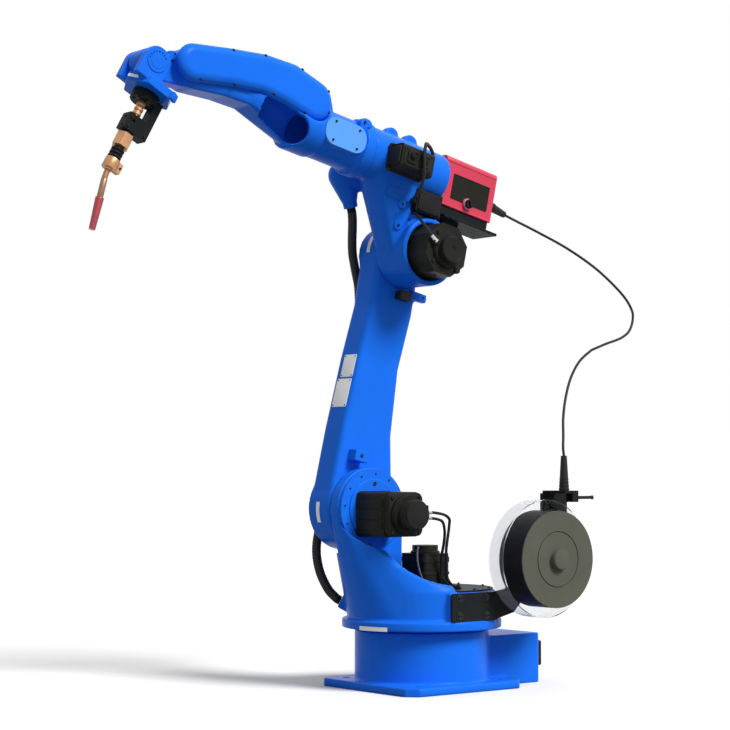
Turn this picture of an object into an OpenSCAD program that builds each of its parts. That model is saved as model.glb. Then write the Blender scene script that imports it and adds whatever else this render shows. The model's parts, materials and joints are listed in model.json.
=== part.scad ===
// Six-axis arc-welding robot arm with wire feeder, wire spool and torch, in millimetres.
// X points forward, Y to the robot's left, Z up; the origin is on the first axis at the floor face.

/* [Links] */
// distance from the first axis forward to the shoulder axis
shoulder_offset = 170; // [150:1:200]
// height of the shoulder axis above the floor face
shoulder_height = 530; // [515:1:560]
// shoulder axis to elbow axis
arm_length = 780; // [720:1:840]
// elbow axis up to the forearm's roll axis
elbow_offset = 235; // [225:1:255]
// elbow to wrist, along the forearm's roll axis
forearm_length = 1036; // [1015:1:1080]
// wrist axis back to the tool axis
tool_offset = 40; // [35:1:45]

/* [Rest pose] */
// backward lean of the lower arm, in degrees
arm_lean = 11.5; // [5:0.5:16]
// rise of the forearm above level, in degrees
nose_up = 12.7; // [8:0.1:16]
// forward tilt of the torch from straight down, in degrees
tool_tilt = 29; // [20:1:35]

/* [Base] */
// side of the square foot
foot_side = 446; // [430:1:460]
// thickness of the foot
foot_thick = 24; // [18:1:28]
// cut across each corner of the foot
foot_chamfer = 34; // [26:1:44]
// distance between the floor bolts
floor_bolt_pitch = 320; // [310:1:325]
// diameter of each floor bolt hole
floor_bolt_d = 18; // [14:1:22]
// radius of the base drum
drum_r = 200; // [190:1:202]
// height of the turret's bearing face
turret_z = 178; // [168:1:186]
// reach of the rear cable box behind the first axis
rear_box_x = 368; // [350:1:390]
// height of the rear cable box
rear_box_h = 150; // [142:1:158]
// width of the rear cable box
rear_box_w = 250; // [220:1:270]
// gap under the turret's flange
flange_lift = 5; // [5:1:8]

/* [Turret] */
// radius of the turret's flange
flange_r = 238; // [230:1:245]
// thickness of the turret's flange
flange_thick = 28; // [24:1:34]
// radius of the turret's body over the flange
turret_r = 221; // [216:1:224]
// height of the turret's low rim
rim_z = 290; // [280:1:298]
// radius of the shoulder boss
shoulder_r = 122; // [115:1:126]
// thickness of the shoulder's reducer disc
reducer_thick = 12; // [8:1:16]
// side of the square of the shoulder motor
motor_side = 130; // [120:1:136]
// length of the shoulder motor's body
motor_len = 132; // [120:1:150]
// side of the square of the turret's own motor
turn_motor_side = 118; // [110:1:124]
// top of the turret's own motor
turn_motor_top = 396; // [380:1:410]
// wall of the turret's front sweep
turret_wall = 22; // [18:1:28]
// thickness of the turret's lid
lid_thick = 5; // [3:1:8]
// turn of the low hose gland from straight ahead, in degrees
gland_angle = -38; // [-44:1:-32]
// height of the low hose gland
gland_z = 236; // [228:1:244]
// drop of the shoulder motor below the shoulder axis
motor_drop = 14; // [8:1:18]
// length of a motor's stepped end
encoder_len = 38; // [30:1:44]

/* [Lower arm] */
// side position of the arm's near face
arm_near_y = -72; // [-76:1:-70]
// thickness of the arm
arm_thick = 103; // [95:1:110]
// radius of the arm's lower boss
arm_low_r = 124; // [118:1:128]
// radius of the arm's upper boss
arm_top_r = 90; // [86:1:94]
// width of the arm at its waist
arm_waist = 161; // [152:1:168]
// easing along the arm's edges
arm_ease = 16; // [12:1:18]

/* [Elbow] */
// outer radius of the elbow cup
cup_r = 101; // [97:1:105]
// wall of the elbow cup
cup_wall = 15; // [12:1:18]
// side position of the cup's near rim
cup_near_y = 58; // [54:1:64]
// side of the square of the elbow motor
elbow_motor_side = 150; // [142:1:152]
// end of the elbow motor's body
elbow_motor_y = 136; // [128:1:142]
// radius of the roll housing
roll_r = 80; // [78:1:84]
// forward end of the roll housing
roll_seam_x = 278; // [270:1:284]
// side of the square of the roll motor
roll_motor_side = 72; // [66:1:76]
// depth of the roll motor
roll_motor_depth = 64; // [58:1:68]
// drop of the roll motor below the roll axis
roll_motor_drop = 13; // [8:1:16]
// length of the roll motor
roll_motor_len = 122; // [114:1:128]
// rear end of the roll motor, forward of the elbow axis
roll_motor_x = 110; // [104:1:114]
// side position of the high hose gland
gland_high_y = -128; // [-132:1:-124]

/* [Wire feeder] */
// length of the feeder's cover
feeder_len = 206; // [198:1:214]
// width of the feeder's cover
feeder_w = 98; // [92:1:99]
// height of the feeder's cover
feeder_h = 156; // [150:1:165]
// radius along the cover's top edges
feeder_edge_r = 14; // [10:1:20]
// front of the feeder, forward of the elbow axis
feeder_front_x = -24; // [-28:1:-22]
// side position of the feeder's near face
feeder_near_y = 35; // [30:1:40]
// thickness of the feeder's carrier plate
carrier_thick = 8; // [6:1:10]
// side of the square leg under the carrier
carrier_leg = 64; // [56:1:68]
// height of the leg's seat above the elbow axis
carrier_leg_z = 100; // [94:1:106]

/* [Forearm] */
// radius of the forearm's roll tube
tube_r = 75; // [72:1:77]
// bore of the hollow roll axis
hollow_r = 56; // [50:1:60]
// wrist axis back to the gooseneck's rear end
neck_len = 545; // [536:1:554]
// wrist axis back to the gooseneck's crest
crest_back = 467; // [458:1:476]
// height of the crest above the roll axis
crest_z = 76; // [72:1:80]
// half height of the gooseneck at its crest
crest_r = 72; // [68:1:76]
// wrist axis back to the gooseneck's fall
fall_back = 236; // [226:1:246]
// height of the fall above the roll axis
fall_z = 52; // [48:1:56]
// half height of the gooseneck at its fall
fall_r = 66; // [62:1:69]
// wrist axis back to the end of the roll tube
mouth_back = 491; // [484:1:498]
// length of the collar at the roll tube's end
collar_len = 84; // [78:1:90]
// half width of the gooseneck on the far side
neck_far_y = 60; // [54:1:64]
// side position of the cowl's seat
cowl_y = 46; // [42:1:50]
// thickness of the cowl
cowl_thick = 26; // [22:1:30]
// centre of the tube's oval cover, forward of the elbow
tube_cover_x = 392; // [388:1:396]
// length of the tube's oval cover
tube_cover_len = 150; // [142:1:156]
// height of the tube's oval cover
tube_cover_h = 82; // [76:1:88]
// half width of the wrist tongue
tongue_half = 28; // [25:1:31]
// radius of the wrist tongue
tongue_r = 42; // [38:1:44]

/* [Wrist and torch] */
// how far the wrist turns up from the rest pose, in degrees
wrist_up = 170; // [160:1:175]
// thickness of each wrist cheek
cheek_thick = 22; // [18:1:25]
// across corners of the wrist's six-sided block
block_d = 150; // [140:1:156]
// thickness of the wrist's six-sided block
block_thick = 26; // [22:1:30]
// radius of the tool disc
disc_r = 38; // [35:1:40]
// thickness of the tool disc
disc_thick = 26; // [22:1:30]
// length of the torch's straight body
torch_len = 222; // [205:1:235]
// radius of the torch's body
torch_r = 10; // [9:0.5:12]
// radius of the swan neck's bend
bend_r = 120; // [100:1:140]
// straight length of the swan neck after its bend
swan_len = 52; // [46:1:60]
// bend of the swan neck, in degrees
neck_bend = 14; // [8:1:20]
// length of the gas nozzle
nozzle_len = 90; // [80:1:98]

/* [Wire spool] */
// diameter of the spool's case
spool_d = 284; // [272:1:300]
// width of the spool's case
spool_w = 100; // [95:1:106]
// spool axis behind the first axis
spool_x = -235; // [-250:1:-225]
// height of the spool axis
spool_z = 383; // [375:1:400]
// thickness of the spool's bracket plate
bracket_thick = 8; // [6:1:10]
// length of the bracket's seat on the turret
bracket_len = 178; // [170:1:184]
// reach of the wire guide behind the spool axis
guide_reach = 145; // [138:1:150]
// width of the wire guide's plate
guide_w = 104; // [96:1:110]
// boot and wire block behind the spool axis
guide_back = 73; // [68:1:78]
// height of the wire guide above the spool axis
guide_h = 192; // [186:1:198]
// length of the lower conduit boot
boot_len = 104; // [96:1:110]
// radius of the clear cover's rim
cover_r = 174; // [168:1:182]
// diameter of the wire conduit
conduit_d = 8; // [6:0.5:10]
// diameter of the roll motor's lead
roll_lead_d = 11; // [9:0.5:12]
// diameter of the motor leads
lead_d = 9; // [7:0.5:10]
// diameter of the cable hose
hose_d = 28; // [24:1:32]

/* [Clearances] */
// gap at a turning face
seat_gap = 0.3; // [0.2:0.05:0.5]
// gap beside a moving piece
run_gap = 5.5; // [5:0.5:7]

/* [Hidden] */
$fn = 64;
paint = [0.08, 0.28, 0.85];
black = [0.08, 0.08, 0.09];
red = [0.80, 0.16, 0.24];
olive = [0.33, 0.33, 0.28];
brass = [0.72, 0.52, 0.22];
copper = [0.72, 0.36, 0.22];
smoke = [0.10, 0.11, 0.11];
clear = [0.85, 0.88, 0.90, 0.35];

elbow_pos = [shoulder_offset - arm_length * sin(arm_lean), 0, shoulder_height + arm_length * cos(arm_lean)];
forearm_pos = elbow_pos + elbow_offset * [-sin(nose_up), 0, cos(nose_up)];
wrist_pos = forearm_pos + forearm_length * [cos(nose_up), 0, sin(nose_up)];

drum_top = turret_z - flange_lift;
flange_z = turret_z;
flange_top = flange_z + flange_thick;
arm_far_y = arm_near_y - arm_thick;
upright_far_y = arm_near_y + seat_gap;
upright_near_y = upright_far_y + 40;
reducer_y = upright_near_y + reducer_thick;
motor_y = reducer_y + motor_len;

// concave sweep across the turret: a cylinder along X
sweep_r = 466;
sweep_y = upright_near_y + 446;
sweep_z = rim_z + 432;

bracket_y = turret_r + 2;
spool_back_y = bracket_y + bracket_thick + 12;
guide_y = spool_back_y + spool_w / 2;
bracket_x0 = -bracket_len + 77;
guide_x = spool_x - guide_reach;
guide_boot_x = spool_x - guide_back;

cup_far_y = arm_near_y + seat_gap;
feeder_low = -72;
carrier_z = feeder_low - 28;
carrier_leg_x = feeder_front_x - carrier_leg - 37;
carrier_leg_y = feeder_near_y - feeder_w + 14;
feeder_rear_x = feeder_front_x - feeder_len;
wrist_stop = wrist_up - 180 + tool_tilt - nose_up;

module at_shoulder() {
    translate([shoulder_offset, 0, shoulder_height])
        rotate([0, -arm_lean, 0])
            children();
}

module at_elbow() {
    translate(elbow_pos)
        rotate([0, -nose_up, 0])
            children();
}

module at_forearm() {
    translate(forearm_pos)
        rotate([0, -nose_up, 0])
            children();
}

module at_wrist() {
    translate(wrist_pos)
        rotate([0, -tool_tilt, 0])
            children();
}

// a cylinder along Y between two side positions
module across(r, y0, y1, sides = 64) {
    translate([0, y1, 0])
        rotate([90, 0, 0])
            cylinder(r = r, h = y1 - y0, $fn = sides);
}

// a cylinder along X between two positions
module along(r, x0, x1, sides = 64) {
    translate([x0, 0, 0])
        rotate([0, 90, 0])
            cylinder(r = r, h = x1 - x0, $fn = sides);
}

// a rectangle with round corners, about its centre
module round_rect(w, d, r) {
    square([w - 2 * r, d], center = true);
    square([w, d - 2 * r], center = true);
    for (x = [-1, 1], y = [-1, 1])
        translate([x * (w / 2 - r), y * (d / 2 - r)])
            circle(r = r, $fn = 32);
}

// points along a smooth curve through the route points
function curve_at(p, i, t) =
    let(n = len(p) - 1,
        a = p[max(i - 1, 0)], b = p[i], c = p[min(i + 1, n)], d = p[min(i + 2, n)])
    0.5 * (2 * b + (c - a) * t + (2 * a - 5 * b + 4 * c - d) * t * t
        + (3 * b - a - 3 * c + d) * t * t * t);
function smooth(p, k) =
    concat([for (i = [0 : len(p) - 2], j = [0 : k - 1]) curve_at(p, i, j / k)], [p[len(p) - 1]]);
function unit(v) = v / norm(v);
function heading(p, i) = unit(p[min(i + 1, len(p) - 1)] - p[max(i - 1, 0)]);
function carried(v, t) = unit(v - (v * t) * t);
function side_list(p, i = 0, v = [0.3, 1, 0.2]) =
    i == len(p) ? [] : let(s = carried(v, heading(p, i))) concat([s], side_list(p, i + 1, s));

// a round tube swept along route points
module tube_along(points, d, k = 3, sides = 10) {
    path = smooth(points, k);
    n = len(path);
    u = side_list(path);
    rings = [for (i = [0 : n - 1], j = [0 : sides - 1])
        path[i] + d / 2 * (cos(360 * j / sides) * u[i]
            + sin(360 * j / sides) * cross(heading(path, i), u[i]))];
    walls = [for (i = [0 : n - 2], j = [0 : sides - 1], h = [0, 1])
        let(a = i * sides + j, b = i * sides + (j + 1) % sides)
        h == 0 ? [a, a + sides, b + sides] : [a, b + sides, b]];
    ends = [[for (j = [0 : sides - 1]) j],
        [for (j = [sides - 1 : -1 : 0]) (n - 1) * sides + j]];
    polyhedron(points = rings, faces = concat(walls, ends), convexity = 6);
}

// Base

module base_casting() color(paint) {
    half = foot_side / 2;
    cut = half - foot_chamfer;
    difference() {
        union() {
            linear_extrude(foot_thick)
                polygon([[half, -cut], [half, cut], [cut, half], [-cut, half],
                    [-half, cut], [-half, -cut], [-cut, -half], [cut, -half]]);
            cylinder(r = drum_r, h = drum_top, $fn = 96);
            cylinder(r = drum_r - 45, h = turret_z - seat_gap, $fn = 96);
            translate([-rear_box_x / 2, 0, 0])
                linear_extrude(rear_box_h)
                    round_rect(rear_box_x, rear_box_w, 16);
        }
        for (x = [-1, 1], y = [-1, 1])
            translate([x, y, 0] * floor_bolt_pitch / 2) {
                translate([0, 0, -1])
                    cylinder(d = floor_bolt_d, h = foot_thick + 2, $fn = 32);
                translate([0, 0, foot_thick])
                    cylinder(d = floor_bolt_d + 18, h = drum_top, $fn = 32);
            }
    }
}

module connector_panel() color(black) {
    translate([-rear_box_x - 5, -rear_box_w / 2 + 20, foot_thick + 8])
        cube([5, rear_box_w - 40, rear_box_h - foot_thick - 18]);
}

module rear_connectors() color(black) {
    for (y = [-1, 1])
        translate([-rear_box_x - 33, y * 52 - 42, foot_thick + 22])
            cube([28, 84, 76]);
}

// Turret

module turret_casting() color(paint) {
    front_x = shoulder_offset - shoulder_r;
    difference() {
        union() {
            translate([0, 0, flange_z])
                cylinder(r = flange_r, h = flange_thick, $fn = 96);
            hull() {
                translate([0, 0, flange_top - 1])
                    cylinder(r = turret_r, h = rim_z - flange_top + 1, $fn = 64);
                translate([shoulder_offset, 0, shoulder_height])
                    across(shoulder_r, upright_far_y, upright_near_y, 48);
            }
        }
        translate([0, sweep_y, sweep_z])
            along(sweep_r, -400, 500, 160);
        translate([-400, -400, rim_z])
            cube([400 + front_x, 800, 500]);
        intersection() {
            translate([0, 0, rim_z])
                cylinder(r = turret_r - turret_wall, h = 500, $fn = 96);
            translate([-400, upright_near_y, rim_z])
                cube([800, 800, 500]);
        }
        translate([shoulder_offset, 0, shoulder_height]) {
            across(shoulder_r - 1, upright_near_y, 400);
            across(arm_low_r + run_gap, -400, upright_far_y);
            translate([-500, upright_far_y - 400, -arm_low_r - run_gap])
                cube([1000, 400, 500]);
        }
    }
    translate([shoulder_offset, 0, shoulder_height])
        across(shoulder_r, upright_far_y, upright_near_y);
    translate([bracket_x0, 0, flange_top])
        cube([bracket_len, bracket_y, rim_z - flange_top]);
    rotate([0, 0, gland_angle])
        translate([turret_r - 14, 0, gland_z])
            rotate([0, 62, 0])
                cylinder(d = hose_d + 16, h = 40, $fn = 40);
}

module turret_lid() color(black) {
    difference() {
        translate([0, 0, rim_z])
            cylinder(r = turret_r - 8, h = lid_thick, $fn = 96);
        translate([shoulder_offset - shoulder_r - 3, -300, rim_z - 1])
            cube([600, 600, lid_thick + 2]);
    }
}

module turn_motor() color(black) {
    body_h = turn_motor_top - rim_z - lid_thick;
    translate([-14, 0, rim_z + lid_thick]) {
        linear_extrude(body_h)
            round_rect(turn_motor_side - 20, turn_motor_side, 14);
        cylinder(d = turn_motor_side * 0.66, h = body_h + 24);
    }
}

module shoulder_reducer() color(paint) {
    translate([shoulder_offset, 0, shoulder_height])
        across(shoulder_r - 4, upright_near_y, reducer_y);
}

module shoulder_motor() color(black) {
    translate([shoulder_offset, reducer_y, shoulder_height - motor_drop])
        rotate([-90, 0, 0]) {
            linear_extrude(motor_len)
                round_rect(motor_side, motor_side, 12);
            cylinder(d = motor_side - 20, h = motor_len + encoder_len);
            cylinder(d = motor_side - 46, h = motor_len + 2 * encoder_len);
        }
}

module spool_bracket() color(black) {
    translate([0, bracket_y + bracket_thick, 0])
        rotate([90, 0, 0])
            linear_extrude(bracket_thick) {
                translate([bracket_x0 + bracket_len / 2, (flange_top + rim_z) / 2])
                    round_rect(bracket_len, rim_z - flange_top - 2, 10);
                polygon([[bracket_x0 + 20, flange_top + 1], [bracket_x0 + 20, rim_z - 1],
                    [bracket_x0 - 30, rim_z + 6], [bracket_x0 - 62, rim_z + 40],
                    [spool_x + 52, spool_z + 30],
                    [spool_x - 40, spool_z - 44], [bracket_x0 - 60, flange_top + 20]]);
                translate([spool_x, spool_z])
                    circle(r = 60);
                translate([guide_x, spool_z])
                    square([guide_w, guide_h]);
            }
    translate([guide_boot_x - 22, bracket_y, spool_z + guide_h])
        cube([44, guide_y - bracket_y + 26, bracket_thick]);
}

module spool_axle() color(black) {
    translate([spool_x, 0, spool_z])
        across(24, bracket_y + bracket_thick, spool_back_y + spool_w + 8, 40);
}

module wire_spool() color(olive) {
    translate([spool_x, 0, spool_z])
        difference() {
            union() {
                across(spool_d / 2, spool_back_y, spool_back_y + spool_w, 96);
                across(31, spool_back_y, spool_back_y + spool_w + 14, 48);
            }
            across(24 + seat_gap, spool_back_y - 1, spool_back_y + spool_w + 9, 40);
            difference() {
                across(spool_d * 0.285 + 1.5, spool_back_y + spool_w - 3, spool_back_y + spool_w + 1, 64);
                across(spool_d * 0.285 - 1.5, spool_back_y + spool_w - 4, spool_back_y + spool_w + 2, 64);
            }
        }
}

module spool_cover() color(clear) {
    translate([spool_x, 0, spool_z])
        difference() {
            across(cover_r, bracket_y + bracket_thick, spool_back_y + spool_w / 2, 96);
            across(cover_r - 3, bracket_y + bracket_thick + 3, spool_back_y + spool_w, 96);
            across(24, 0, 500, 40);
        }
}

module wire_guide() color(black) {
    translate([guide_boot_x - 22, guide_y, spool_z + guide_h - 26]) {
        translate([-24, -14, 0])
            cube([24, 28, 26 + bracket_thick]);
        translate([-24, 0, 13])
            along(5, -70, 0, 24);
    }
}

module conduit_boot_low() color(smoke) {
    translate([guide_boot_x, guide_y, spool_z + guide_h + bracket_thick])
        cylinder(r1 = 15, r2 = 9, h = boot_len, $fn = 40);
}

// Lower arm

// one round station of the arm, with eased edges
module arm_station(x, z, r) {
    translate([x, 0, z]) {
        across(r, arm_far_y + arm_ease, arm_near_y - arm_ease, 32);
        across(r - arm_ease * 0.3, arm_far_y + arm_ease * 0.3, arm_near_y - arm_ease * 0.3, 32);
        across(r - arm_ease, arm_far_y, arm_near_y, 32);
    }
}

module arm_casting() color(paint) {
    waist = arm_waist / 2;
    waist_z = arm_length * 0.56;
    at_shoulder() {
        across(arm_low_r, arm_far_y, arm_near_y, 96);
        translate([0, 0, arm_length])
            across(arm_top_r, arm_far_y, arm_near_y, 96);
        hull() {
            arm_station(0, 0, arm_low_r - 2);
            arm_station(20, waist_z / 2, waist + 14);
        }
        hull() {
            arm_station(20, waist_z / 2, waist + 14);
            arm_station(19, waist_z, waist);
        }
        hull() {
            arm_station(19, waist_z, waist);
            arm_station(1, arm_length * 0.78, waist);
        }
        hull() {
            arm_station(1, arm_length * 0.78, waist);
            arm_station(3, arm_length, arm_top_r - 8);
        }
        difference() {
            translate([-108, arm_near_y - 10, arm_length - 124])
                cube([60, 26, 26]);
            translate([-92, 0, arm_length - 111])
                across(5, arm_near_y - 20, arm_near_y + 40, 24);
        }
    }
}

module arm_bracket() color(paint) {
    at_shoulder()
        translate([34, arm_near_y, arm_low_r + 6])
            difference() {
                cube([48, 36, 34]);
                translate([24, 0, 17])
                    across(5, -1, 60, 24);
            }
}

module arm_stop() color(black) {
    at_shoulder()
        translate([-40, arm_near_y, arm_length - cup_r - run_gap - 30])
            cube([44, 30, 26]);
}

// Elbow

module elbow_casting() color(paint) {
    at_elbow() {
        difference() {
            union() {
                across(cup_r, cup_far_y, cup_near_y, 96);
                hull() {
                    across(cup_r - 6, cup_far_y, 0, 32);
                    translate([0, 0, elbow_offset])
                        along(roll_r - 14, 70, roll_seam_x - 38, 32);
                }
                translate([0, 0, elbow_offset]) {
                    along(roll_r, feeder_front_x + 12, roll_seam_x - seat_gap, 96);
                    along(roll_r - 12, feeder_front_x + 4, 40, 96);
                    translate([roll_motor_x, 0, -roll_motor_side / 2 - roll_motor_drop])
                        cube([roll_motor_len, roll_r + 2, roll_motor_side]);
                    for (x = [106, 180])
                        translate([x, -14, roll_r - 2])
                            across(26, 0, 26, 40);
                    hull() {
                        translate([roll_seam_x - 48, gland_high_y, -46])
                            sphere(r = 46, $fn = 32);
                        translate([roll_seam_x - 158, gland_high_y + 58, -30])
                            sphere(r = 44, $fn = 32);
                    }
                    hull() {
                        translate([roll_seam_x - 48, gland_high_y, -46])
                            sphere(r = 46, $fn = 32);
                        translate([roll_seam_x - 82, gland_high_y, -104])
                            sphere(r = 27, $fn = 32);
                    }
                    translate([roll_seam_x - 82, gland_high_y, -104])
                        rotate([0, 208, 0])
                            cylinder(d = hose_d + 16, h = 34, $fn = 40);
                }
                translate([carrier_leg_x, carrier_leg_y, 40])
                    cube([carrier_leg, carrier_leg, carrier_leg_z - 40]);
                for (p = [[104, 121], [79, 79]])
                    translate([p[0], 0, p[1]])
                        across(17, -20, 16, 32);
            }
            across(cup_r - cup_wall, -12, 200, 96);
            translate([0, 0, elbow_offset])
                junction_block(seat_gap);
            for (p = [[104, 121], [79, 79]])
                translate([p[0], 0, p[1]])
                    across(5, 4, 60, 24);
        }
    }
}

module elbow_motor() color(black) {
    at_elbow()
        rotate([-90, 0, 0]) {
            translate([0, 0, -12])
                rotate([0, 0, 22.5])
                    cylinder(d = elbow_motor_side * 1.08, h = elbow_motor_y + 12, $fn = 8);
            cylinder(d = elbow_motor_side - 48, h = elbow_motor_y + 10);
            cylinder(d = 76, h = elbow_motor_y + 28);
        }
}

module roll_motor() color(black) {
    at_forearm()
        translate([roll_motor_x, roll_r + 2 + roll_motor_depth / 2, -roll_motor_drop])
            rotate([0, 90, 0])
                linear_extrude(roll_motor_len)
                    round_rect(roll_motor_side, roll_motor_depth, 10);
}

// block of the junction box, with room to spare around it
module junction_block(room) {
    translate([-12 - room, 20 - room, -130 - room])
        cube([96 + 2 * room, 42 + 2 * room, 70 + 2 * room]);
}

module junction_box() color(black) {
    at_forearm()
        junction_block(0);
}

module feeder_carrier() color(black) {
    at_forearm() {
        translate([feeder_front_x - feeder_len - 28, feeder_near_y - feeder_w - 2, carrier_z - carrier_thick])
            cube([feeder_len + 12, feeder_w + 12, carrier_thick]);
        translate([carrier_leg_x, carrier_leg_y, carrier_leg_z - elbow_offset])
            cube([carrier_leg, carrier_leg, elbow_offset + carrier_z - carrier_leg_z - 1]);
    }
}

module feeder_base() color(black) {
    at_forearm()
        translate([feeder_front_x - feeder_len + 6, feeder_near_y - feeder_w + 4, carrier_z])
            cube([feeder_len - 18, feeder_w - 8, feeder_low - carrier_z]);
}

module feeder_cover() color(red) {
    at_forearm()
        translate([feeder_front_x - feeder_len, feeder_near_y - feeder_w / 2, feeder_low])
            rotate([90, 0, 90])
                linear_extrude(feeder_len) {
                    translate([-feeder_w / 2, 0])
                        square([feeder_w, feeder_h - feeder_edge_r]);
                    translate([-feeder_w / 2 + feeder_edge_r, 0])
                        square([feeder_w - 2 * feeder_edge_r, feeder_h]);
                    for (y = [-1, 1])
                        translate([y * (feeder_w / 2 - feeder_edge_r), feeder_h - feeder_edge_r])
                            circle(r = feeder_edge_r, $fn = 40);
                }
}

module feeder_window() color(smoke) {
    at_forearm()
        difference() {
            translate([feeder_front_x - feeder_len + 26, feeder_near_y, feeder_low + 31])
                cube([feeder_len - 64, 2, 72]);
            translate([feeder_front_x - 104, 0, feeder_low + 28])
                across(19, 0, 100, 40);
        }
}

module feeder_knob() color(black) {
    at_forearm()
        translate([feeder_front_x - 104, 0, feeder_low + 28])
            across(14, feeder_near_y, feeder_near_y + 16, 40);
}

module conduit_boot_high() color(smoke) {
    at_forearm()
        difference() {
            translate([feeder_rear_x + 6, feeder_near_y - feeder_w / 2, 0])
                rotate([0, -97, 0])
                    cylinder(r1 = 17, r2 = 10, h = 100, $fn = 40);
            translate([feeder_rear_x, -100, -100])
                cube([100, 200, 200]);
        }
}

// Forearm

// one round station of the gooseneck, with eased edges
module station(x, z, r, y0, y1) {
    translate([x, 0, z]) {
        across(r, y0 + 14, y1 - 6, 40);
        across(r - 14, y0, y1, 40);
    }
}

module at_neck() {
    at_forearm()
        translate([forearm_length, 0, 0])
            children();
}

module neck_rear() {
    station(-neck_len, crest_z - 20, crest_r - 6, -neck_far_y, cowl_y);
}

module neck_crest() {
    station(-crest_back, crest_z, crest_r, -neck_far_y, cowl_y);
}

module neck_mid() {
    station(-(crest_back + fall_back) / 2 + 10, crest_z - 10, crest_r + 4, -neck_far_y, cowl_y);
}

module neck_fall() {
    station(-fall_back, fall_z, fall_r, -neck_far_y, cowl_y);
}

module forearm_casting() color(paint) {
    difference() {
        union() {
            at_forearm() {
                along(tube_r, roll_seam_x, forearm_length - mouth_back, 96);
                along(tube_r + 11, roll_seam_x, roll_seam_x + 40, 96);
                translate([tube_cover_x, tube_r - 4, 0])
                    rotate([90, 0, 0])
                        linear_extrude(40)
                            round_rect(tube_cover_len + 8, tube_cover_h + 8, tube_cover_h / 2 + 2);
            }
            at_neck() {
                along(tube_r + 5, -mouth_back - collar_len, -mouth_back, 96);
                hull() {
                    neck_rear();
                    neck_crest();
                }
                hull() {
                    neck_crest();
                    neck_mid();
                }
                hull() {
                    neck_mid();
                    neck_fall();
                }
                hull() {
                    neck_fall();
                    station(-130, 30, 60, -neck_far_y + 8, cowl_y);
                }
                hull() {
                    along(tube_r, -mouth_back - 60, -mouth_back - 20, 32);
                    neck_mid();
                }
                hull() {
                    translate([-130, 0, 22])
                        across(50, -tongue_half, tongue_half, 32);
                    across(tongue_r, -tongue_half, tongue_half, 32);
                }
                across(tongue_r, -tongue_half, tongue_half, 64);
            }
        }
        at_neck() {
            along(hollow_r, -mouth_back - 120, -mouth_back - 20, 64);
            hull() {
                translate([-mouth_back - 8, 8, -20])
                    sphere(r = 44, $fn = 32);
                translate([-mouth_back + 115, 0, 26])
                    sphere(r = 38, $fn = 32);
                translate([-mouth_back + 45, 112, -46])
                    sphere(r = 44, $fn = 32);
            }
            translate([0, cowl_y + 100, 0])
                rotate([90, 0, 0])
                    linear_extrude(100)
                        cowl_outline();
            translate([0, -100, 0])
                rotate([0, -wrist_stop, 0])
                    translate([-block_d / 2 + tool_offset - run_gap, 0, tongue_r])
                        cube([200, 200, 100]);
        }
        at_forearm()
            translate([tube_cover_x, tube_r + 40, 0])
                rotate([90, 0, 0])
                    linear_extrude(44)
                        round_rect(tube_cover_len + 2, tube_cover_h + 2, tube_cover_h / 2 - 2);
    }
}

// places and radii along the cowl, measured from the wrist axis
cowl_line = [[-neck_len + 15, crest_z - 8, crest_r - 12], [-crest_back + 29, crest_z + 10, crest_r - 10],
    [-345, crest_z + 10, crest_r - 16], [-fall_back + 9, fall_z + 12, fall_r - 12], [-112, 36, 54]];

module cowl_outline() {
    for (i = [0 : len(cowl_line) - 2])
        hull()
            for (k = [i, i + 1])
                translate([cowl_line[k][0], cowl_line[k][1]])
                    circle(r = cowl_line[k][2], $fn = 32);
}

module cowl_disc(k) {
    translate([cowl_line[k][0], 0, cowl_line[k][1]]) {
        across(cowl_line[k][2], cowl_y, cowl_y + cowl_thick * 0.35, 32);
        across(cowl_line[k][2] - 7, cowl_y, cowl_y + cowl_thick * 0.75, 32);
        across(cowl_line[k][2] - 20, cowl_y, cowl_y + cowl_thick, 32);
    }
}

module cowl() color(paint) {
    at_neck()
        for (i = [0 : len(cowl_line) - 2])
            hull() {
                cowl_disc(i);
                cowl_disc(i + 1);
            }
}

module tube_cover() color(paint) {
    at_forearm()
        translate([tube_cover_x, tube_r + 4, 0])
            rotate([90, 0, 0])
                linear_extrude(8)
                    round_rect(tube_cover_len, tube_cover_h, tube_cover_h / 2 - 3);
}

// Wrist and torch

module wrist_block() color(paint) {
    cheek_y = tongue_half + run_gap;
    top = -tongue_r - run_gap;
    at_wrist() {
        for (s = [0, 1])
            mirror([0, s, 0])
                union() {
                    across(tongue_r, cheek_y, cheek_y + cheek_thick, 64);
                    translate([-tongue_r, cheek_y, top - block_thick / 2])
                        cube([2 * tongue_r, cheek_thick, tongue_r + run_gap + block_thick / 2]);
                    across(24, tongue_half + seat_gap, cheek_y + 1, 40);
                }
        translate([-tool_offset, 0, top - block_thick])
            cylinder(d = block_d, h = block_thick, $fn = 6);
    }
}

module tool_disc() color(black) {
    at_wrist()
        translate([-tool_offset, 0, disc_z - disc_thick])
            cylinder(r = disc_r, h = disc_thick);
}

disc_z = -tongue_r - run_gap - block_thick - seat_gap;
torch_z = disc_z - disc_thick;

module torch_bracket() color(black) {
    at_wrist()
        translate([-tool_offset, 0, torch_z])
            difference() {
                union() {
                    translate([-52, -20, -76])
                        cube([22, 40, 76 + disc_thick - 6]);
                    translate([-52, -20, -100])
                        cube([78, 40, 50]);
                }
                translate([0, 0, -120])
                    cylinder(r = torch_r, h = 130, $fn = 40);
                translate([0, 0, 0])
                    cylinder(r = disc_r, h = disc_thick + 2, $fn = 64);
                translate([6, 0, -70])
                    across(5, -40, 40, 24);
            }
}

module torch_body() color(brass) {
    at_wrist()
        translate([-tool_offset, 0, torch_z - torch_len])
            cylinder(r = torch_r, h = torch_len, $fn = 40);
}

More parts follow.
